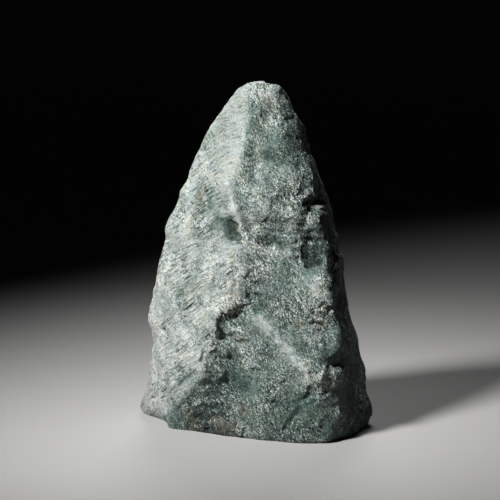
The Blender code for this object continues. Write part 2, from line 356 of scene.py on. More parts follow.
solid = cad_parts["jade_boulder"]
welded = bmesh.new()
welded.from_mesh(solid.data)
bmesh.ops.remove_doubles(welded, verts=welded.verts, dist=1e-6)
stone_mesh = bpy.data.meshes.new("jade_stone")
welded.to_mesh(stone_mesh)
welded.free()
stone_mesh.materials.clear()
stone_mesh = regrained(stone_mesh, WORK_GRAIN, SOFTENING)
stone_mesh = regrained(stone_mesh, MARK_GRAIN, 0)
worked(stone_mesh)
stone_mesh = regrained(stone_mesh, SKIN_GRAIN, 0)


FOOT_CUT = SKIN_GRAIN * 0.6
CUT_TOLERANCE = SKIN_GRAIN / 50


def sawn(mesh):
    """Cut the skin level at the foot and close it with one flat face."""
    skin = bmesh.new()
    skin.from_mesh(mesh)
    everything = skin.verts[:] + skin.edges[:] + skin.faces[:]
    bmesh.ops.bisect_plane(skin, geom=everything, dist=CUT_TOLERANCE, plane_co=(0, 0, FOOT_CUT),
                           plane_no=(0, 0, -1), clear_outer=True)
    rim = [edge for edge in skin.edges if edge.is_boundary]
    for edge in rim:
        for vert in edge.verts:
            vert.co.z = 0.0
    bmesh.ops.contextual_create(skin, geom=rim)
    bmesh.ops.recalc_face_normals(skin, faces=skin.faces[:])
    skin.to_mesh(mesh)
    skin.free()


sawn(stone_mesh)

# Tones, laid on like washes: half width in pixels, strength, path in pixels. Above 0 is paler. Some are
# painted shade or painted light, as marked.
TONES_WITH_PAINTED_LIGHT = {
    "left of the pocket": (13, -0.22, [(207, 196), (212, 212), (208, 230)]),
    "left border of the top": (9, -0.08, [(218, 122), (206, 142)]),
    # painted shade in the groove left of the knob
    "groove left of the knob": (2.2, -0.25, [(324, 328), (323, 340), (326, 352)]),
    "left of the dimple": (7, 0.08, [(246, 206), (250, 224)]),
    "right bank of the dimple": (7, 0.10, [(288, 212), (292, 226)]),
    "pale streak under the rib": (7, 0.12, [(246, 364), (262, 372)]),
    "front of the top": (9, -0.10, [(262, 112), (262, 140)]),
    # the next two: painted shade on the front's darker green, where the upper right turns from the lamp
    "dark right of the top": (9, -0.18, [(286, 114), (286, 130), (292, 148)]),
    "right of the upper front": (11, -0.16, [(272, 154), (288, 164), (304, 174)]),
    "dark streak of the upper front": (6, -0.20, [(250, 142), (251, 178)]),
    "tip": (9, 0.12, [(250, 88), (272, 92)]),
    "below the spur": (6, 0.22, [(246, 246), (262, 251), (284, 254)]),
    "beside the spur": (8, 0.08, [(250, 206), (252, 234)]),
    # painted shade along the upper right side, where it turns from the lamp
    "upper right side": (9, -0.30, [(296, 140), (301, 158), (305, 170)]),
    # painted shade: the right side, which the key lamp leaves dark, is washed darker still
    "painted shade of the right": (12, -0.32, [
        (322, 190), (332, 230), (337, 280), (344, 330), (349, 380), (355, 420)]),
    "left edge": (8, 0.10, [(156, 280), (154, 320), (160, 350), (156, 400)]),
    "pale streak of the upper front": (4, 0.16, [(258, 142), (259, 186)]),
    "spur crest": (3, 0.14, [(228, 184), (233, 200), (239, 221), (243, 240)]),
    "crest of the top": (4, -0.12, [(253, 108), (253, 130)]),
    # the next three: painted highlights on knobs and an edge that catch the key lamp beside the shade
    "knobs of the right hollow": (2, 0.35, [(314, 206), (324, 208)]),
    "knobs of the sunk band": (2.5, 0.40, [(322, 256), (329, 260)]),
    "right of the shoulder": (6, 0.22, [(325, 284), (328, 300)]),
    # the next two: painted shade in the dimple and under its second ledge
    "dimple": (11, -0.14, [(262, 231), (284, 234)]),
    "second dark layer": (3.4, -0.26, [(252, 238), (272, 241), (298, 250)]),
    "below the shoulder": (8, 0.10, [(306, 308), (316, 312)]),
    "first pale layer": (1.2, 0.20, [(256, 226), (266, 226), (278, 227)]),
    "second pale layer": (1.2, 0.26, [(256, 230), (272, 232), (290, 236)]),
    # painted shade in the right hollow
    "right hollow": (8, -0.35, [(304, 206), (318, 205)]),
    # painted light on the patch that faces the lamp
    "lit patch of the right": (5, 0.20, [(307, 226), (314, 215)]),
    # painted shade on the sunk band, which turns from the lamp
    "sunk band": (9, -0.36, [(306, 241), (312, 260)]),
    # painted light on the shoulder that faces the lamp
    "bright shoulder": (10, 0.28, [(315, 284), (317, 298)]),
    "pale bank": (5, 0.14, [(242, 266), (243, 284)]),
    # painted shade under the lip of the notch
    "pit under the lip": (6, -0.26, [(230, 320), (241, 323)]),
    "pale below the pit": (8, 0.13, [(230, 335), (246, 338)]),
    "front beside the lower left": (10, 0.06, [(252, 362), (250, 372)]),
    "low right bank": (10, 0.10, [(304, 364), (308, 376), (290, 390)]),
    "diagonal rib": (7, 0.36, [(262, 320), (277, 339), (291, 355), (305, 372)]),
    # the next two: partly the dark green of the lower left, partly painted shade in its recess under the left
    # face
    "dark lower left bands": (9, -0.28, [(238, 384), (226, 390), (206, 400)]),
    "dark beside the left face": (8, -0.09, [(228, 346), (226, 362), (220, 382)]),
    "pale above the lower left": (7, 0.08, [(208, 345), (202, 364)]),
    "middle of the front": (16, -0.08, [(286, 288), (288, 312)]),
    "low middle of the front": (15, -0.09, [(268, 372), (272, 400)]),
    "dark foot of the left": (9, -0.22, [(192, 424), (208, 428), (230, 436)]),
    "dark foot of the right": (10, -0.14, [(276, 428), (300, 432), (326, 430)]),
    "dark right of the low crack": (10, -0.08, [(316, 400), (322, 425)]),
    "lower crest": (2.6, 0.26, [(197, 402), (215, 400), (224, 406)]),
    # painted shade in the lower hollow
    "lower hollow": (9, -0.24, [(204, 410), (222, 410)]),
    # the next three: painted shade in the notch, the open corner and the long crack
    "right notch": (6, -0.15, [(326, 360), (342, 360)]),
    "open corner": (3.5, -0.26, [(311, 389), (302, 400), (296, 404)]),
    "long crack": (1.8, -0.4, [(314, 401), (297, 409), (286, 425)]),
    "crest by the corner": (3, 0.22, [(322, 396), (313, 399), (303, 405)]),
    "striated dark patch": (6, -0.14, [(183, 290), (193, 274), (200, 262)]),
    # painted shade in the chip
    "chip in the left face": (2, -0.5, [(205, 352), (200, 361)]),
    "brown crease": (1.2, -0.3, [(233, 262), (234, 280), (232, 301)]),
    # painted shade in the slit
    "dark slit": (1.2, -0.3, [(197, 369), (188, 375), (172, 392)]),
    "white slit": (1.4, 0.25, [(172, 363), (191, 354)]),
}

# Tones of whole breaks: strength, border in pixels, outline in pixels, clockwise. Most are painted shade on
# breaks that lie in a hollow or turn from the lamp.
BREAK_TONES_WITH_PAINTED_SHADE = {
    # the next two: painted shade in the spur pocket, under its upper rim
    "spur pocket": (-0.32, 2, [
        (218, 217), (229, 215), (238, 226), (243, 239), (241, 243), (230, 239), (220, 232)]),
    "bottom of the spur pocket": (-0.18, 2, [(228, 225), (236, 224), (243, 238), (241, 242), (229, 238)]),
    # partly dark green, partly painted shade in the recess under the left face
    "dark lower left": (-0.06, 3, [
        (220, 340), (236, 344), (238, 372), (232, 386), (216, 400), (203, 403), (209, 376)]),
    # the next two: painted shade beside the lit patch and on the sunk band, which turn from the lamp
    "shade beside the lit patch": (-0.32, 2, [(318, 211), (342, 211), (346, 262), (326, 260), (318, 236)]),
    "sunk band": (-0.24, 3, [
        (299, 237), (306, 231), (320, 226), (328, 258), (318, 266), (306, 267), (299, 256)]),
    # painted shade on the upper right, where it turns from the lamp
    "upper right": (-0.15, 3, [(301, 142), (316, 146), (329, 196), (314, 198), (303, 170)]),
    # painted shade in the lower hollow
    "lower hollow": (-0.26, 3, [(191, 404), (225, 402), (230, 412), (226, 422), (192, 423), (188, 412)]),
    "dark foot of the left": (-0.18, 3, [(188, 420), (236, 424), (236, 440), (184, 434)]),
    # painted shade on the side of the top that turns from the lamp
    "dark side of the top": (-0.16, 4, [(277, 104), (299, 104), (308, 136), (284, 136)]),
    "beside the shoulder": (-0.11, 3, [(243, 292), (262, 290), (272, 302), (260, 314), (239, 307)]),
}
# Rust and clay stains: half width in pixels, strength, path in pixels.
STAINS = {
    "spur crest": (2.2, 0.3, [(236, 220), (240, 232), (244, 242)]),
    "spot": (2.5, 1.0, [(216, 134), (218, 137)]),
    "upper spot": (2, 0.4, [(215, 177), (215, 180)]),
    "streak above the nub": (1.6, 0.7, [(205, 185), (200, 200), (199, 205)]),
    "long streak": (1.8, 0.7, [(196, 213), (190, 222), (186, 232)]),
    "brown crease": (1.2, 0.35, [(233, 262), (234, 280), (232, 301)]),
    "streak by the pocket": (1.6, 0.8, [(221, 228), (216, 240)]),
    "band left of the crease": (5, 0.35, [(229, 288), (232, 304)]),
    "edge of the lip": (2, 0.6, [(240, 307), (230, 311), (222, 313)]),
    "top": (4, 0.35, [(270, 100), (274, 108)]),
    "bright knobs": (3, 0.45, [(314, 205), (324, 209)]),
    "shelf flecks": (2, 0.4, [(295, 322), (328, 326)]),
    "lower left border": (4, 0.28, [(184, 408), (190, 418), (194, 428)]),
    "lower patch": (7, 0.36, [(219, 424), (232, 430)]),
    "low specks": (5, 0.4, [(241, 408), (249, 414)]),
    "lobe edge": (5, 0.3, [(145, 390), (146, 410)]),
}
# The crest between the left face and the front, from the tip to the foot, in pixels.
CREST_LINE = [(246, 80), (247, 130), (240, 160), (234, 182), (236, 205), (241, 232), (243, 262), (240, 290),
              (236, 304), (219, 314), (215, 338), (208, 358), (204, 376), (187, 396), (167, 412), (163, 430)]
CREST_BORDER = 3.5
# How hackly the skin is, laid on like the tones: above 0 is rougher than the rest.
HACKLE = {
    "along the shade": (12, 0.15, [(311, 150), (312, 190), (322, 215), (328, 250), (331, 290), (333, 320)]),
    "low along the shade": (9, -0.2, [(336, 350), (328, 380), (339, 405), (338, 436)]),
    "right hollow": (14, 0.2, [(306, 205), (309, 250)]),
    "lip of the notch": (7, 0.7, [(248, 300), (232, 308), (219, 316), (214, 336)]),
    "lower left": (14, 0.2, [(222, 350), (220, 385), (205, 412)]),
    "foot": (10, 0.15, [(190, 424), (240, 430), (300, 436)]),
    "tip": (10, -0.1, [(248, 88), (274, 90)]),
    "spur": (8, -0.2, [(230, 190), (234, 215), (241, 238)]),
    "smooth upper left plane": (19, -0.60, [(238, 100), (231, 128), (229, 168)]),
    "upper front": (20, -0.16, [(262, 110), (264, 180)]),
    "diagonal rib": (9, -0.55, [(258, 318), (275, 340), (306, 372)]),
    "bright shoulder": (11, -0.5, [(312, 276), (316, 294)]),
    "foot of the front": (18, -0.2, [(258, 400), (300, 425)]),
}
CALMEST_SKIN = 0.05
PLAIN_SKIN = 0.48
# The left face is paler than the front. The front's rise from the foot to the top is partly painted light,
# stronger high on the stone.
LEFT_FACE_TONE = (0.705, 0.680)                     # at the foot and at the top
FRONT_TONE = (0.35, 0.55)                           # the same
WASHES_FADE = (0.0, 0.3)                            # washes come in where the skin turns to the viewer
PATCH_SIZE = 0.045                                  # patches of the back, in metres
PATCH_STRENGTH = 0.16
PATCH_TURN = 0.8                                    # how far patches decide where the back is fibrous
BACK_LEFT = (-0.1, 0.9)
BACK_FIBRE = (-0.1, 0.3)
BACK_STAIN_AT = (0.25, 0.6)
BACK_STAIN = 0.35
# How washes vary along the skin: size in metres, least, most, shift of the noise.
TONES_UNEVEN = (0.004, 0.5, 1.3, 23.0)
STAINS_UNEVEN = (0.0022, -0.6, 1.6, 31.0)
HACKLE_UNEVEN = (0.022, PLAIN_SKIN - 0.25, PLAIN_SKIN + 0.35, 5.0)
FIBRE_UNEVEN = (0.016, 0.45, 1.3, 41.0)


def painted(mesh):
    """Give the skin its washes as vertex attributes: tones with painted shade and light among them, stain,
    and how fibrous and hackly it is.
    """
    places = vertex_rows(mesh, "co")
    normals = vertex_rows(mesh, "normal")
    seen = wandering(places)
    patches = np.array([noise.noise(place) for place in (places / PATCH_SIZE).tolist()])
    facing = soft_step(*WASHES_FADE, normals @ np.array(camera_back) + PATCH_STRENGTH * patches)
    crest_side, _ = along_path(seen, CREST_LINE)
    height = np.clip(places[:, 2] / cad_box[1][2], 0.0, 1.0)
    left_tone = LEFT_FACE_TONE[0] + (LEFT_FACE_TONE[1] - LEFT_FACE_TONE[0]) * height
    front_tone = FRONT_TONE[0] + (FRONT_TONE[1] - FRONT_TONE[0]) * height
    turned_left = soft_step(*BACK_LEFT, PATCH_TURN * patches - normals[:, 0])
    left = facing * soft_step(-CREST_BORDER, CREST_BORDER, crest_side) + (1.0 - facing) * turned_left
    away = (1.0 - facing) * patches * PATCH_STRENGTH * 2.0
    tone_with_painted_light = front_tone + (left_tone - front_tone) * left + away
    torn = uneven(places, *TONES_UNEVEN)
    for half_width, strength, path in TONES_WITH_PAINTED_LIGHT.values():
        tone_with_painted_light += strength * stroke(seen, path, half_width) * facing * torn
    for strength, border, outline in BREAK_TONES_WITH_PAINTED_SHADE.values():
        tone_with_painted_light += strength * inside(seen, outline, border) * facing * torn
    specks = uneven(places, *STAINS_UNEVEN)
    stain = soft_step(*BACK_STAIN_AT, patches) * (1.0 - facing) * BACK_STAIN * specks
    for half_width, strength, path in STAINS.values():
        stain += strength * stroke(seen, path, half_width) * facing * specks
    fibre = np.maximum(left, (1.0 - facing) * soft_step(*BACK_FIBRE, patches))
    fibre *= uneven(places, *FIBRE_UNEVEN)
    hackle = uneven(places, *HACKLE_UNEVEN)
    for half_width, strength, path in HACKLE.values():
        hackle += strength * stroke(seen, path, half_width) * facing
    hackle = np.maximum(hackle, CALMEST_SKIN)
    layers = {"tone_with_painted_light": tone_with_painted_light, "stain": np.clip(stain, 0, 1), "fibre": np.clip(fibre, 0, 1), "hackle": hackle}
    for name, values in layers.items():
        layer = mesh.attributes.new(name, "FLOAT", "POINT")
        layer.data.foreach_set("value", values.astype(np.float32))


painted(stone_mesh)


def wire(tree, source, target):
    """Join an output socket to an input socket, or set the input when the source is a plain value."""
    if hasattr(source, "is_output"):
        tree.links.new(source, target)
    else:
        target.default_value = source


def sum_of(tree, *values):
    """Node socket with the sum of sockets or numbers."""
    total = values[0]
    for value in values[1:]:
        node = tree.nodes.new("ShaderNodeMath")
        node.operation = "ADD"
        wire(tree, total, node.inputs[0])
        wire(tree, value, node.inputs[1])
        total = node.outputs[0]
    return total


def math_node(tree, operation, *values):
    """Output of one Math node."""
    node = tree.nodes.new("ShaderNodeMath")
    node.operation = operation
    for value, socket in zip(values, node.inputs):
        wire(tree, value, socket)
    return node.outputs[0]


def vector_node(tree, operation, *values):
    """Output of one Vector Math node."""
    node = tree.nodes.new("ShaderNodeVectorMath")
    node.operation = operation
    for value, socket in zip(values, node.inputs):
        wire(tree, value, socket)
    return node.outputs["Value" if operation == "DOT_PRODUCT" else "Vector"]


def scaled(tree, vector, factor):
    """A vector times a number or a socket."""
    node = tree.nodes.new("ShaderNodeVectorMath")
    node.operation = "SCALE"
    wire(tree, vector, node.inputs[0])
    wire(tree, factor, node.inputs["Scale"])
    return node.outputs["Vector"]


def noise_node(tree, vector, scale, detail=3.0, roughness=0.6):
    """Soft noise, 0 to 1, at a vector."""
    node = tree.nodes.new("ShaderNodeTexNoise")
    wire(tree, vector, node.inputs["Vector"])
    wire(tree, scale, node.inputs["Scale"])
    node.inputs["Detail"].default_value = detail
    node.inputs["Roughness"].default_value = roughness
    return node.outputs[0]


# Grain of the stone: the way it runs, the way across it, the way into the stone, and how much shorter
# the noise is made along the run. The grain bends a little over a longer way, both in metres.
FIBRES = (Vector((0.617, -0.591, 0.515)), Vector((-0.371, 0.355, 0.858)), Vector((-0.414, -0.432, 0)), 0.11)
FRONT_GRAIN = (Vector((0.550, 0.0, -0.835)), Vector((0.835, 0.0, 0.550)), Vector((0, 0.6, 0)), 0.34)
BEND_SIZE = 0.05
BEND = 0.012
MIDDLE_GREY = (0.5, 0.5, 0.5)                       # mean of a noise node's colour


def streaked(tree, position, grain):
    """Position squeezed along a grain, so that noise on it comes out as streaks that bend a little."""
    run, across, depth, squeeze = grain
    bend = tree.nodes.new("ShaderNodeTexNoise")
    wire(tree, position, bend.inputs["Vector"])
    bend.inputs["Scale"].default_value = 1 / BEND_SIZE
    bend.inputs["Detail"].default_value = 1.0
    centred = vector_node(tree, "SUBTRACT", bend.outputs["Color"], MIDDLE_GREY)
    position = vector_node(tree, "ADD", position, scaled(tree, centred, BEND))
    node = tree.nodes.new("ShaderNodeCombineXYZ")
    wire(tree, vector_node(tree, "DOT_PRODUCT", position, run * squeeze), node.inputs[0])
    wire(tree, vector_node(tree, "DOT_PRODUCT", position, across), node.inputs[1])
    wire(tree, vector_node(tree, "DOT_PRODUCT", position, depth), node.inputs[2])
    return node.outputs[0]


# Sizes and heights of the broken skin, in metres, as the tree's inputs. A slope is height by width.
SKIN_INPUTS = {
    "Swell size": 0.026,
    "Swell height": 0.0010,
    "Flake size": 0.0170,
    "Flake slope": 0.10,
    "Chip size": 0.0046,
    "Chip slope": 0.12,
    "Splinter size": 0.0022,
    "Splinter slope": 0.26,
    "Grain size": 0.0016,
    "Grain height": 0.0010,
    "Sliver width": 0.0028,
    "Sliver slope": 0.26,
    "Fibre width": 0.0017,
    "Fibre height": 0.0006,
    "Left face calm": 0.68,
    "Tear": 0.8,
    "Seed shift": 3.7,
}
TEAR_SCALE = 1.3                                    # ripples of a torn edge, against the shard's size
TEAR_DETAIL = 3.0
SHARD_STEP = 0.7                                    # how far shards stand above each other
CREST_ROUNDS = 5                                    # how far a crest is told from the skin around it
CREST_HEIGHT = 0.0005                               # a crest this high has the full wear


def skin_tree(material):
    """Geometry Nodes tree that breaks the skin into flakes, chips, splinters, slivers and grain."""
    tree = bpy.data.node_groups.new("broken skin", "GeometryNodeTree")
    tree.interface.new_socket("Geometry", in_out="INPUT", socket_type="NodeSocketGeometry")
    for name, value in SKIN_INPUTS.items():
        socket = tree.interface.new_socket(name, in_out="INPUT", socket_type="NodeSocketFloat")
        socket.default_value = value
    tree.interface.new_socket("Geometry", in_out="OUTPUT", socket_type="NodeSocketGeometry")
    start = tree.nodes.new("NodeGroupInput")
    end = tree.nodes.new("NodeGroupOutput")
    inputs = start.outputs
    shift = tree.nodes.new("ShaderNodeCombineXYZ")
    for axis in range(3):
        tree.links.new(inputs["Seed shift"], shift.inputs[axis])
    position = tree.nodes.new("GeometryNodeInputPosition").outputs[0]

    def attribute(name):
        node = tree.nodes.new("GeometryNodeInputNamedAttribute")
        node.data_type = "FLOAT"
        node.inputs["Name"].default_value = name
        return node.outputs["Attribute"]

    fibrous = attribute("fibre")

    def shards(vector, size, slope):
        """Small flat faces, each tilted its own way, with torn edges where they meet."""
        fine = math_node(tree, "DIVIDE", 1.0, inputs[size])
        spot = vector_node(tree, "ADD", scaled(tree, vector, fine), shift.outputs[0])
        ripple = tree.nodes.new("ShaderNodeTexNoise")
        tree.links.new(spot, ripple.inputs["Vector"])
        ripple.inputs["Scale"].default_value = TEAR_SCALE
        ripple.inputs["Detail"].default_value = TEAR_DETAIL
        centred = vector_node(tree, "SUBTRACT", ripple.outputs["Color"], MIDDLE_GREY)
        spot = vector_node(tree, "ADD", spot, scaled(tree, centred, inputs["Tear"]))
        cells = tree.nodes.new("ShaderNodeTexVoronoi")
        tree.links.new(spot, cells.inputs["Vector"])
        cells.inputs["Scale"].default_value = 1.0
        from_middle = vector_node(tree, "SUBTRACT", spot, cells.outputs["Position"])
        tilt = vector_node(tree, "SUBTRACT", cells.outputs["Color"], MIDDLE_GREY)
        plane = math_node(tree, "MULTIPLY", vector_node(tree, "DOT_PRODUCT", from_middle, tilt), 2.0)
        step = tree.nodes.new("ShaderNodeSeparateXYZ")
        tree.links.new(tilt, step.inputs[0])
        plane = sum_of(tree, plane, math_node(tree, "MULTIPLY", step.outputs["X"], SHARD_STEP))
        return math_node(tree, "MULTIPLY", math_node(tree, "MULTIPLY", plane, inputs[slope]), inputs[size])

    def soft(vector, size, height, detail):
        """Smooth rise and fall."""
        fine = math_node(tree, "DIVIDE", 1.0, inputs[size])
        value = math_node(tree, "SUBTRACT", noise_node(tree, vector, fine, detail), 0.5)
        return math_node(tree, "MULTIPLY", math_node(tree, "MULTIPLY", value, 2.0), inputs[height])

    along = streaked(tree, position, FIBRES)
    front = streaked(tree, position, FRONT_GRAIN)
    flakes = shards(position, "Flake size", "Flake slope")
    chips = shards(front, "Chip size", "Chip slope")
    splinters = shards(front, "Splinter size", "Splinter slope")
    broken = sum_of(tree, flakes, chips, splinters, soft(position, "Grain size", "Grain height", 2.0))
    calm = math_node(tree, "SUBTRACT", 1.0, math_node(tree, "MULTIPLY", fibrous, inputs["Left face calm"]))
    slivers = shards(along, "Sliver width", "Sliver slope")
    streaks = sum_of(tree, slivers, soft(along, "Fibre width", "Fibre height", 3.0))
    on_front = math_node(tree, "MULTIPLY", broken, calm)
    on_left = math_node(tree, "MULTIPLY", streaks, fibrous)
    hackly = math_node(tree, "MULTIPLY", sum_of(tree, on_front, on_left), attribute("hackle"))
    rise = sum_of(tree, hackly, soft(position, "Swell size", "Swell height", 1.0))
    height = tree.nodes.new("ShaderNodeSeparateXYZ")
    tree.links.new(position, height.inputs[0])
    clear_of_foot = tree.nodes.new("ShaderNodeMapRange")
    clear_of_foot.interpolation_type = "SMOOTHSTEP"
    tree.links.new(height.outputs["Z"], clear_of_foot.inputs["Value"])
    clear_of_foot.inputs["From Max"].default_value = FOOT_BAND
    rise = math_node(tree, "MULTIPLY", rise, clear_of_foot.outputs["Result"])
    normal = tree.nodes.new("GeometryNodeInputNormal").outputs[0]
    move = tree.nodes.new("GeometryNodeSetPosition")
    tree.links.new(inputs["Geometry"], move.inputs["Geometry"])
    tree.links.new(scaled(tree, normal, rise), move.inputs["Offset"])
    around = tree.nodes.new("GeometryNodeBlurAttribute")
    around.data_type = "FLOAT_VECTOR"
    tree.links.new(position, around.inputs["Value"])
    around.inputs["Iterations"].default_value = CREST_ROUNDS
    above = vector_node(tree, "SUBTRACT", position, around.outputs["Value"])
    crest = math_node(tree, "DIVIDE", vector_node(tree, "DOT_PRODUCT", above, normal), CREST_HEIGHT)
    keep = tree.nodes.new("GeometryNodeStoreNamedAttribute")
    keep.data_type = "FLOAT"
    keep.domain = "POINT"
    tree.links.new(move.outputs["Geometry"], keep.inputs["Geometry"])
    keep.inputs["Name"].default_value = "crest"
    tree.links.new(crest, keep.inputs["Value"])
    realize = tree.nodes.new("GeometryNodeRealizeInstances")
    tree.links.new(keep.outputs["Geometry"], realize.inputs["Geometry"])
    finish = tree.nodes.new("GeometryNodeSetMaterial")
    tree.links.new(realize.outputs["Geometry"], finish.inputs["Geometry"])
    finish.inputs["Material"].default_value = material
    tree.links.new(finish.outputs["Geometry"], end.inputs["Geometry"])
    return tree


# Nephrite colours, from the dark unbruised stone to the white of crushed fibres.
JADE_TONES = (
    (0.05, (0.008, 0.016, 0.014)),
    (0.25, (0.035, 0.070, 0.058)),
    (0.45, (0.118, 0.175, 0.147)),
    (0.62, (0.300, 0.348, 0.320)),
    (0.80, (0.540, 0.562, 0.542)),
    (1.00, (0.800, 0.800, 0.750)),
)
COOL_TINT = (0.965, 1.00, 1.025)
WARM_TINT = (1.035, 1.005, 0.945)
TINT_SIZE = 0.007
TINT_DETAIL = 4.0
TINT_SHIFT = (0.1, 0.4, 0.3)
TINT_AT = (0.42, 0.62)
STAIN_COLOUR = (0.39, 0.31, 0.20)
STAIN_CRUMB = 0.003
STAIN_STRENGTH = 1.7
# Mottling, as noise about 0: size in metres, detail, roughness, strength.
MOTTLING = {
    "clouds": (0.020, 4.0, 0.6, 0.65),
    "mottle": (0.0055, 5.0, 0.7, 0.60),
    "streaks": (0.0036, 5.0, 0.85, 1.10),
    "dust": (0.0009, 2.0, 0.8, 2.3),
    "grain": (0.0009, 2.0, 0.8, 1.5),
    "fibres": (0.0015, 4.0, 0.90, 1.75),
}
MOTTLING_BY_HACKLE = 1.4                            # mottling of the hackly skin
MOTTLING_EVERYWHERE = 0.24
DUST_ON_FIBRES = 0.6                                # how far dust and streaks fade on the left face
GRAIN_ON_FIBRES = 0.95                              # how far the front's grain fades there
# Specks: size in metres, and the values of the noise between which they come in.
SPECKS = {
    # flecks: pale crushed specks, partly painted glints
    "flecks": (0.0011, 0.58, 0.66),
    # the next two: dark specks and slits, partly the stone's dark grains, partly painted shade inside them
    "pits": (0.0012, 0.57, 0.66),
    "slits": (0.0013, 0.57, 0.66),
}
SPECK_DETAIL = 2.0
PITS_SHIFT = (0.3, 0.1, 0.7)
LINE_SIZE = 0.007
LINES_AT = (1.5, 2.3)
# Specks gather here and there. Both are noises with a size in metres and a shift of their own.
HERE_SIZE = 0.011
HERE_SHIFT = (0.5, 0.2, 0.9)
FLECKS_HERE = (0.42, 0.62)
LINES_HERE = (0.40, 0.60)
THERE_SIZE = 0.009
THERE_SHIFT = (0.8, 0.6, 0.1)
PITS_THERE = (0.40, 0.62)
SLITS_THERE = (0.36, 0.56)
# Crushed crests, and painted shade in each hollow, by how far the skin stands above or below the skin around
# it.
CRESTS_AT = (0.15, 1.3)
HOLLOW_SHADE_AT = (0.15, 1.6)
# How much paler (above 0) or darker each kind makes the stone, and how far it stands out in the bump.
# The hollow's darkening is painted shade; the pits and slits are partly painted shade, the flecks partly
# painted glints.
PALER = {"flecks": 0.36, "pits": -0.48, "slits": -0.42, "lines": 0.16, "crests": 0.22, "hollows": -0.22}
RELIEF = {"flecks": 0.35, "pits": -0.5, "slits": -0.8, "fibres": 0.9}
ROUGHNESS = (0.50, 0.82)                            # of the darkest and of the palest stone
GLOSS = 0.4
BUMP_HEIGHT = 0.0030
BUMP_STRENGTH = 0.9
CRUMB_SIZE = 0.0011
CRUMB_ROUGHNESS = 0.80


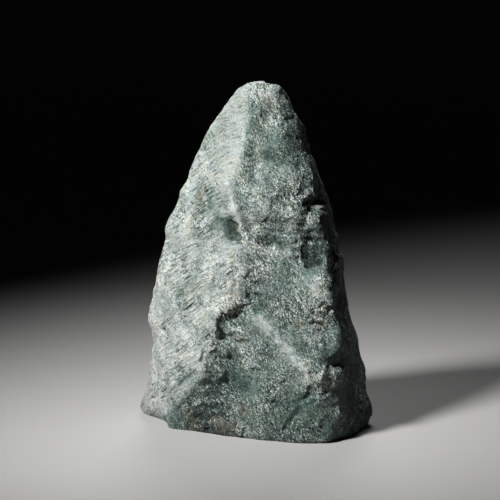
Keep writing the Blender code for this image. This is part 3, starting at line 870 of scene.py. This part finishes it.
def jade_material():
    """Rough nephrite: mottled green, pale crests, fibres and flecks, rust stains, dull with a faint gloss;
    painted shade in each hollow and, in part, in pits and slits, and painted glints among the flecks.
    """
    material = bpy.data.materials.new("rough_jade")
    material.use_nodes = True
    tree = material.node_tree
    shader = tree.nodes["Principled BSDF"]
    position = tree.nodes.new("ShaderNodeTexCoord").outputs["Object"]

    def attribute(name):
        node = tree.nodes.new("ShaderNodeAttribute")
        node.attribute_name = name
        return node.outputs["Fac"]

    def times(value, factor):
        return math_node(tree, "MULTIPLY", value, factor)

    def less(value, factor):
        """1 where a value is 0, and less by the factor where it is 1."""
        return math_node(tree, "SUBTRACT", 1.0, times(value, factor))

    def mottling(name, vector):
        """Mottling of one kind, about 0."""
        size, detail, roughness, strength = MOTTLING[name]
        value = noise_node(tree, vector, 1 / size, detail, roughness)
        return times(math_node(tree, "SUBTRACT", value, 0.5), strength)

    def spots(value, low, high):
        """0 below low, 1 above high."""
        node = tree.nodes.new("ShaderNodeMapRange")
        node.interpolation_type = "SMOOTHSTEP"
        wire(tree, value, node.inputs["Value"])
        node.inputs["From Min"].default_value = low
        node.inputs["From Max"].default_value = high
        return node.outputs["Result"]

    def threads(vector, scale):
        """Thin pale lines: the ridges of a ridged noise."""
        node = tree.nodes.new("ShaderNodeTexNoise")
        node.noise_type = "RIDGED_MULTIFRACTAL"
        wire(tree, vector, node.inputs["Vector"])
        node.inputs["Scale"].default_value = scale
        node.inputs["Detail"].default_value = SPECK_DETAIL
        return node.outputs[0]

    def moved(vector, offset):
        return vector_node(tree, "ADD", vector, offset)

    def specks(name, vector):
        """Specks of one kind, all over the stone."""
        size, low, high = SPECKS[name]
        return spots(noise_node(tree, vector, 1 / size, SPECK_DETAIL), low, high)

    fibrous = attribute("fibre")
    crest = attribute("crest")
    along = streaked(tree, position, FIBRES)
    front = streaked(tree, position, FRONT_GRAIN)
    rough = less(fibrous, DUST_ON_FIBRES)
    brittle = less(fibrous, GRAIN_ON_FIBRES)
    here = noise_node(tree, moved(position, HERE_SHIFT), 1 / HERE_SIZE, SPECK_DETAIL)
    there = noise_node(tree, moved(position, THERE_SHIFT), 1 / THERE_SIZE, SPECK_DETAIL)
    lively = sum_of(tree, times(attribute("hackle"), MOTTLING_BY_HACKLE), MOTTLING_EVERYWHERE)
    clouds = mottling("clouds", position)
    mottle = times(mottling("mottle", position), rough)
    streaks = times(mottling("streaks", front), rough)
    dust = times(mottling("dust", position), rough)
    grain = times(mottling("grain", front), brittle)
    fibres = times(mottling("fibres", along), fibrous)
    # flecks: pale crushed specks, partly painted glints
    flecks = times(specks("flecks", front), spots(here, *FLECKS_HERE))
    # pits and slits: darker and sunk in the bump, partly painted shade inside them
    pits = times(specks("pits", moved(front, PITS_SHIFT)), spots(there, *PITS_THERE))
    slits = times(times(specks("slits", along), fibrous), spots(there, *SLITS_THERE))
    lines = times(spots(threads(position, 1 / LINE_SIZE), *LINES_AT), spots(here, *LINES_HERE))
    worn = times(spots(crest, *CRESTS_AT), PALER["crests"])
    # painted shade: the skin is darkened where it lies below the skin around it
    hollow = times(spots(times(crest, -1.0), *HOLLOW_SHADE_AT), PALER["hollows"])
    variety = sum_of(tree, clouds, mottle, streaks, dust, grain, fibres, times(flecks, PALER["flecks"]),
                     times(pits, PALER["pits"]), times(slits, PALER["slits"]), times(lines, PALER["lines"]),
                     worn, hollow)
    # The washed tones, painted shade and light among them, with mottling and specks, and painted shade in
    # each hollow, pit and slit.
    tone_with_painted_light = sum_of(tree, attribute("tone_with_painted_light"), times(variety, lively))
    ramp = tree.nodes.new("ShaderNodeValToRGB")
    while len(ramp.color_ramp.elements) < len(JADE_TONES):
        ramp.color_ramp.elements.new(0.5)
    for element, (place, colour) in zip(ramp.color_ramp.elements, JADE_TONES):
        element.position = place
        element.color = (*colour, 1.0)
    tree.links.new(tone_with_painted_light, ramp.inputs["Fac"])
    drift = tree.nodes.new("ShaderNodeMix")
    drift.data_type = "RGBA"
    tints = noise_node(tree, moved(position, TINT_SHIFT), 1 / TINT_SIZE, TINT_DETAIL)
    wire(tree, spots(tints, *TINT_AT), drift.inputs["Factor"])
    drift.inputs["A"].default_value = (*COOL_TINT, 1.0)
    drift.inputs["B"].default_value = (*WARM_TINT, 1.0)
    tinted = vector_node(tree, "MULTIPLY", ramp.outputs["Color"], drift.outputs["Result"])
    rust = tree.nodes.new("ShaderNodeMix")
    rust.data_type = "RGBA"
    crumbs = times(noise_node(tree, position, 1 / STAIN_CRUMB, SPECK_DETAIL), STAIN_STRENGTH)
    wire(tree, times(attribute("stain"), crumbs), rust.inputs["Factor"])
    tree.links.new(tinted, rust.inputs["A"])
    rust.inputs["B"].default_value = (*STAIN_COLOUR, 1.0)
    tree.links.new(rust.outputs["Result"], shader.inputs["Base Color"])
    gloss = tree.nodes.new("ShaderNodeMapRange")
    tree.links.new(tone_with_painted_light, gloss.inputs["Value"])
    gloss.inputs["To Min"].default_value = ROUGHNESS[0]
    gloss.inputs["To Max"].default_value = ROUGHNESS[1]
    tree.links.new(gloss.outputs["Result"], shader.inputs["Roughness"])
    shader.inputs["Specular IOR Level"].default_value = GLOSS
    bump = tree.nodes.new("ShaderNodeBump")
    bump.inputs["Distance"].default_value = BUMP_HEIGHT
    bump.inputs["Strength"].default_value = BUMP_STRENGTH
    crumble = noise_node(tree, position, 1 / CRUMB_SIZE, SPECK_DETAIL, CRUMB_ROUGHNESS)
    relief = sum_of(tree, crumble, times(flecks, RELIEF["flecks"]), times(pits, RELIEF["pits"]),
                    times(slits, RELIEF["slits"]), times(fibres, RELIEF["fibres"]))
    tree.links.new(relief, bump.inputs["Height"])
    tree.links.new(bump.outputs["Normal"], shader.inputs["Normal"])
    return material


jade = jade_material()
stone = shown(stone_mesh)
breaking = stone.modifiers.new("broken skin", "NODES")
breaking.node_group = skin_tree(jade)
for item in breaking.node_group.interface.items_tree:
    if item.in_out == "INPUT" and item.name in SKIN_INPUTS:
        breaking[item.identifier] = SKIN_INPUTS[item.name]
stone = shown(plain_mesh(stone, "jade_stone"))
thinning = stone.modifiers.new("thin", "DECIMATE")
thinning.ratio = MOST_TRIANGLES / sum(len(face.vertices) - 2 for face in stone.data.polygons)
stone = shown(plain_mesh(stone, "jade_stone"))
stone.name = "jade_stone"
stone.data.shade_smooth()
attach(stone, "root")
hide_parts("jade_boulder")

# The floor: a plain pale round board that turns up into a low wall on every side, so that no view
# looks past it. It is not part of the object.
FLAT_RADIUS = 2.4
CURVE_RADIUS = 0.8
WALL_TOP = 3.2
CURVE_STEPS = 12
ROUND_STEPS = 96
FLOOR_GREY = (0.33, 0.325, 0.32, 1.0)
FLOOR_ROUGHNESS = 0.9
board_profile = [(0.0, 0.0), (FLAT_RADIUS, 0.0)]
for step in range(1, CURVE_STEPS + 1):
    turn = math.radians(90) * step / CURVE_STEPS
    board_profile.append((FLAT_RADIUS + CURVE_RADIUS * math.sin(turn), CURVE_RADIUS * (1 - math.cos(turn))))
board_profile.append((FLAT_RADIUS + CURVE_RADIUS, WALL_TOP))
board_form = bmesh.new()
profile_verts = [board_form.verts.new((reach, 0.0, height)) for reach, height in board_profile]
profile_edges = [board_form.edges.new(pair) for pair in zip(profile_verts, profile_verts[1:])]
bmesh.ops.spin(board_form, geom=profile_verts + profile_edges, cent=(0, 0, 0), axis=(0, 0, 1),
               angle=math.radians(360), steps=ROUND_STEPS, use_duplicate=False)
bmesh.ops.remove_doubles(board_form, verts=board_form.verts[:], dist=1e-5)
bmesh.ops.recalc_face_normals(board_form, faces=board_form.faces[:])
if board_form.faces[0].normal.z < 0:
    bmesh.ops.reverse_faces(board_form, faces=board_form.faces[:])
board_mesh = bpy.data.meshes.new("studio_floor")
board_form.to_mesh(board_mesh)
board_form.free()
board_mesh.shade_smooth()
board = bpy.data.materials.new("pale_board")
board.use_nodes = True
board.node_tree.nodes["Principled BSDF"].inputs["Base Color"].default_value = FLOOR_GREY
board.node_tree.nodes["Principled BSDF"].inputs["Roughness"].default_value = FLOOR_ROUGHNESS
board_mesh.materials.append(board)
shown(board_mesh)

# The light: a soft lamp from the front left, a weaker and wider one high behind the stone, which only
# its back sees, and a faint fill from the room.
LAMPS = {                                           # side, rise, distance, size, spread, power
    "key": (-43, 40, 1.15, 0.24, 48, 2.50),
    "back": (178, 42, 1.6, 0.70, 38, 0.85),
}
ROOM_GREY = (0.003, 0.003, 0.0033, 1.0)
for lamp_name, (side, rise, distance, size, spread, power) in LAMPS.items():
    flat = math.cos(math.radians(rise))
    way = Vector((math.sin(math.radians(side)) * flat, -math.cos(math.radians(side)) * flat,
                  math.sin(math.radians(rise))))
    lamp_data = bpy.data.lights.new(lamp_name, "AREA")
    lamp_data.shape = "DISK"
    lamp_data.size = size
    lamp_data.energy = power
    lamp_data.spread = math.radians(spread)
    lamp = bpy.data.objects.new(lamp_name, lamp_data)
    lamp.location = CAMERA_TARGET + way * distance
    lamp.rotation_euler = way.to_track_quat("Z", "Y").to_euler()
    bpy.context.scene.collection.objects.link(lamp)
world = bpy.data.worlds.new("room")
world.use_nodes = True
world.node_tree.nodes["Background"].inputs["Color"].default_value = ROOM_GREY
bpy.context.scene.world = world
bpy.context.scene.view_settings.view_transform = "Standard"
